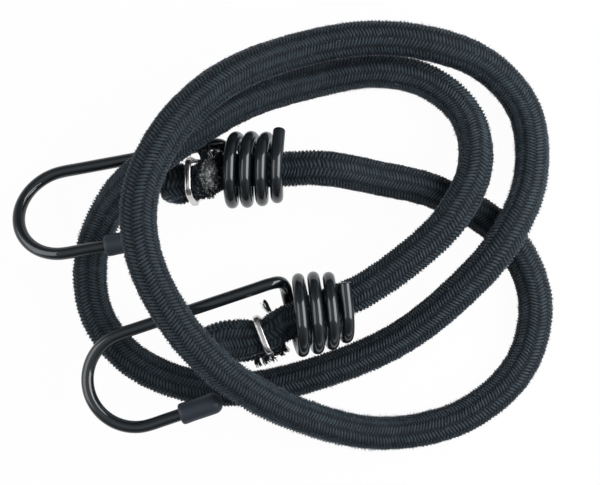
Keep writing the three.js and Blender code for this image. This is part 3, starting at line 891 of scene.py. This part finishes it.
def add_cap(end, tip, outward, body):
    """A cap with a rolled mouth, a slightly uneven side and a round end, hollow where the wire goes in"""
    inside = WIRE_RADIUS + CLEARANCE / 2
    bore_end = max(FRONT["cap_grip"], REAR["cap_grip"]) + CLEARANCE
    profile = [(CAP_POLE, bore_end), (inside * CAP_BORE_FLAT, bore_end), (inside, bore_end - CAP_BORE_NOSE),
               (inside, CAP_MOUTH), (inside + CAP_FLARE, CAP_FLARE)]
    for a in np.linspace(0, math.pi / 2, CAP_LIP_POINTS):
        profile.append((CAP_RADIUS - CAP_LIP * (1 - math.sin(a)), CAP_LIP * (1 - math.cos(a))))
    profile += [(CAP_RADIUS + off, along) for off, along in CAP_SIDE]
    for a in np.linspace(0, math.pi / 2, CAP_END_POINTS):
        radius = CAP_RADIUS - CAP_END_INSET - CAP_END_ROUND * (1 - math.cos(a))
        profile.append((max(CAP_POLE, radius), CAP_LENGTH - CAP_END_ROUND * (1 - math.sin(a))))
    profile.append((CAP_POLE, CAP_LENGTH))
    start = tip - outward * end["cap_grip"]
    side = unit(np.cross((0, 0, 1), outward))
    up = np.cross(outward, side)
    around = circle(CAP_SIDES)
    rings = [start + outward * along + radius * (np.outer(around[:, 0], side) + np.outer(around[:, 1], up))
             for radius, along in profile]
    cap = piece(end["name"] + "_push_cap", np.concatenate(rings), ring_faces(len(rings), CAP_SIDES), CAP_PLASTIC)
    dress(cap, body, "cap_plastic", end["name"] + "_tip_cap")


# Folded ends

def fold_point(out, across, rise):
    return np.array((-out, across, rise)) * CORD_DIAMETER


def fold_line(end):
    """The folded end's middle line with its width and thickness, in the end's own frame"""
    out, across, rise = end["fold"]
    radius = end["tail"][0][2] - rise
    stations = [(CLEARANCE / 2 / CORD_DIAMETER, 0, 0, 1, 1), *end["outward"]]
    for a in np.linspace(0, math.pi, FOLD_POINTS):
        stations.append((out + radius * math.sin(a), across, rise - radius * math.cos(a), *end["fold_section"]))
    stations += end["tail"]
    points = [(*fold_point(o, s, r), w, h) for o, s, r, w, h in stations]
    return even_line(smooth_line(points, POINTS_PER_SPAN), FOLD_STEP)


def add_folded_end(end):
    name, body = end["name"], end["name"] + "_end"
    place = Place(end["point"], end["azimuth"], end["elevation"], end["tail_roll"])
    local = fold_line(end)
    wide, tall = local[:, 3], local[:, 4]
    line = place.points(local[:, :3])
    forward = headings(line)
    level = place.ways((0, 1, 0))
    across = unit(level - forward * (forward @ level)[:, None])
    lift = np.cross(forward, across)
    sheath = [values[:-SHEATH_SHORT] for values in (line, across, lift, wide, tall)]
    dress(braided(name + "_folded_braid", *sheath), body, "yarn", name + "_folded_sheath")
    stray_fibres(name + "_fold_fibres", body, FOLD_FIBRES, *sheath)
    core_sizes = np.stack([wide, tall], 1) * CORD_RADIUS - SHEATH_WALL - CORE_INSET
    core = swept(name + "_folded_rubber", line, across, lift, circle(FOLD_CORE_SIDES), RUBBER, core_sizes)
    joined(core, strand_ends(name + "_strand_ends", line[-1], forward[-1], across[-1], lift[-1],
                             wide[-1] * CORD_RADIUS - CUT_FACE_INSET, tall[-1] * CORD_RADIUS - CUT_FACE_INSET))
    dress(core, body, "rubber", name + "_folded_core")
    at = -SHEATH_SHORT - 1
    mouth = (line[at], forward[at], across[at] * wide[at] * CORD_RADIUS, lift[at] * tall[at] * CORD_RADIUS)
    add_loose_ends(end, place, body, mouth)
    add_clip(end, place, body)


def strand_ends(name, centre, forward, across, lift, half_wide, half_tall):
    """The cut ends of the core's fine square strands, each a little longer or shorter than the next"""
    chance = np.random.default_rng(CUT_DRAW)
    points, faces = [], []
    outline = rounded_box(CUT_SIDE * CUT_FILL, CUT_SIDE * CUT_FILL, CUT_ROUND, per=2)
    for x in np.arange(-half_wide, half_wide, CUT_SIDE):
        for y in np.arange(-half_tall, half_tall, CUT_SIDE):
            px, py = x + chance.uniform(-CUT_SHIFT, CUT_SHIFT), y + chance.uniform(-CUT_SHIFT, CUT_SHIFT)
            if (px / half_wide) ** 2 + (py / half_tall) ** 2 > 1:
                continue
            corners = turned(outline, chance.uniform(-CUT_TURN, CUT_TURN)) + (px, py)
            tilt = (forward + across * chance.uniform(-CUT_TILT, CUT_TILT)
                    + lift * chance.uniform(-CUT_TILT, CUT_TILT))
            top = chance.uniform(*CUT_TOPS)
            first = len(points)
            for depth, size in ((-CUT_DEPTH, 1.0), (top - CUT_BEVEL, 1.0), (top, CUT_TOP_SIZE)):
                ring = corners + (corners.mean(0) - corners) * (1 - size)
                points.extend(centre + tilt * depth + np.outer(ring[:, 0], across) + np.outer(ring[:, 1], lift))
            faces.extend(tuple(first + k for k in f) for f in ring_faces(3, len(outline)))
    return piece(name, points, faces, RUBBER)


def add_loose_ends(end, place, body, mouth):
    """Cut yarn round the fold: locks of black threads, single pale ones, and the sheath's frayed mouth"""
    chance = np.random.default_rng(LOOSE_DRAW)
    centre, forward, half_across, half_lift = mouth
    for shade, (material, ending, together, radius, curl, frayed) in enumerate(LOOSE_KINDS):
        roots, ways, lengths = [], [], []
        for middle, spread, way, length, locks, pale in end["loose"]:
            for _ in range(pale if shade else locks):
                root = np.array(middle) + np.array(spread) * chance.uniform(-1, 1, 3)
                lead = unit(np.array(way) + LOOSE_SCATTER * chance.normal(size=3))
                reach = length * chance.uniform(*LOOSE_LENGTHS)
                for _ in range(together):
                    roots.append(place.points(root + LOCK_SPREAD * chance.normal(size=3) * (together > 1)))
                    ways.append(place.ways(unit(lead + LOCK_SCATTER * chance.normal(size=3))))
                    lengths.append(reach * chance.uniform(*LOCK_LENGTHS))
        for turn in chance.uniform(0, 2 * math.pi, frayed):
            away = half_across * math.cos(turn) + half_lift * math.sin(turn)
            roots.append(centre + away * chance.uniform(*MOUTH_ROOTS))
            ways.append(unit(forward * chance.uniform(*MOUTH_FORWARD) + unit(away) * MOUTH_FLARE
                             + LOOSE_SCATTER * chance.normal(size=3)))
            lengths.append(chance.uniform(*end["frayed"]))
        made = threads(end["name"] + ending, np.array(roots), np.array(ways), np.array(lengths), radius, curl,
                       LOOSE_CURL_SEED + shade, material)
        dress(made, body, "yarn")


def add_clip(end, place, body):
    """A flat steel strip closed round the fold, with rounded edges and, where it has one, a bent end"""
    half_wide = end["clip_inside"][0] * CORD_RADIUS + CLEARANCE + CLIP_THICKNESS / 2
    half_tall = end["clip_inside"][1] * CORD_RADIUS + CLEARANCE + CLIP_THICKNESS / 2
    opening = math.radians(CLIP_OPENING)
    angles = opening / 2 + np.linspace(0, 1, CLIP_POINTS) * (2 * math.pi - opening)
    c, s = np.cos(angles), np.sin(angles)
    around = np.stack([np.zeros_like(c), half_wide * np.sign(c) * np.abs(c) ** CLIP_SQUARENESS,
                       half_tall * np.sign(s) * np.abs(s) ** CLIP_SQUARENESS], 1)
    line = even_line(place.points(around + fold_point(*end["clip_centre"])), CLIP_STEP)
    across = np.repeat([place.axes[0]], len(line), 0)
    lift = np.cross(headings(line), across)
    strip = rounded_box(CLIP_WIDTH, CLIP_THICKNESS, CLIP_ROUND, per=5)
    clip = swept(end["name"] + "_steel_clip", line, across, lift, strip, STEEL)
    if end["tongue"]:
        bent = place.points(around[0] + fold_point(*end["clip_centre"]) + smooth_line(end["tongue"], 4))
        heading = headings(bent)
        rise = unit(place.axes[2] - heading * (heading @ place.axes[2])[:, None])
        taper = np.linspace(1, TONGUE_TAPER, len(bent))
        joined(clip, swept("bent_end", bent, np.cross(rise, heading), rise, strip[:, ::-1][::-1], STEEL,
                           np.stack([taper, taper], 1)))
    dress(clip, body, "clip_steel", end["name"] + "_clip")


# Setting

def add_floor():
    """A floor that is white to the camera and in reflections, and keeps the object's shadow"""
    half = FLOOR_HALF
    mesh = bpy.data.meshes.new("floor")
    corners = [(-half, -half, 0), (half, -half, 0), (half, half, 0), (-half, half, 0)]
    mesh.from_pydata(corners, [], [(0, 1, 2, 3)])
    material = bpy.data.materials.new("white_floor")
    material.use_nodes = True
    t = Tree(material.node_tree)
    t.nodes.clear()
    camera = t.node("ShaderNodeLightPath")
    seen = camera.math("MAXIMUM", camera.out("Is Glossy Ray")).math("MAXIMUM", camera.out("Is Transmission Ray"))
    matt = t.node("ShaderNodeBsdfDiffuse", inputs={"Color": FLOOR_GREY})
    glow = t.node("ShaderNodeEmission", inputs={
        "Color": (*WHITE, 1), "Strength": FLOOR_REFLECTED + FLOOR_BRIGHTER_SEEN * camera})
    surface = t.node("ShaderNodeMixShader", inputs=[seen * FLOOR_SEEN, matt, glow])
    t.node("ShaderNodeOutputMaterial", inputs=[surface])
    mesh.materials.append(material)
    placed("floor", mesh)


def add_lamp(name, place, width, height, watts):
    data = bpy.data.lights.new(name, "AREA")
    data.shape = "RECTANGLE"
    data.size, data.size_y, data.energy = width, height, watts
    lamp = placed(name, data)
    lamp.location = place
    lamp.visible_camera = False
    back = unit(np.subtract(place, LAMP_AIM))
    side = unit(np.cross((0, 1, 0), back))
    up = np.cross(back, side)
    lamp.rotation_euler = Matrix(np.stack([side, up, back], 1).tolist()).to_euler()


def add_world():
    """White to the camera, darker in reflections, and a soft light that comes mostly from low down"""
    world = bpy.data.worlds.new("studio")
    world.use_nodes = True
    t = Tree(world.node_tree)
    t.nodes.clear()
    camera = t.node("ShaderNodeLightPath")
    glossy = camera.out("Is Glossy Ray")
    way = t.node("ShaderNodeSeparateXYZ", inputs=[t.node("ShaderNodeTexCoord", out="Generated")])
    low = (1 - way.out("Z")).math("MINIMUM", 1.0)
    overhead = way.out("Z").math("MAXIMUM", 0.0) ** 5
    beside = way.math("ABSOLUTE") ** 2
    reflected = REFLECTED_ALL_ROUND + REFLECTED_ABOVE * overhead + REFLECTED_BESIDE * beside
    light = low ** 3 * LIGHT_FROM_LOW + LIGHT_ALL_ROUND
    t.node("ShaderNodeOutputWorld", inputs=[t.node("ShaderNodeBackground", inputs={
        "Color": mixed(t, camera, SKY_TINT, WHITE),
        "Strength": camera + glossy * reflected + (1 - camera) * (1 - glossy) * light})])
    bpy.context.scene.world = world


def add_setting():
    add_floor()
    for lamp in LAMPS:
        add_lamp(*lamp)
    add_world()
    bpy.context.scene.view_settings.view_transform = "Standard"


add_camera()
add_cord()
for end in ENDS:
    add_hook(end)
    add_folded_end(end)
add_setting()
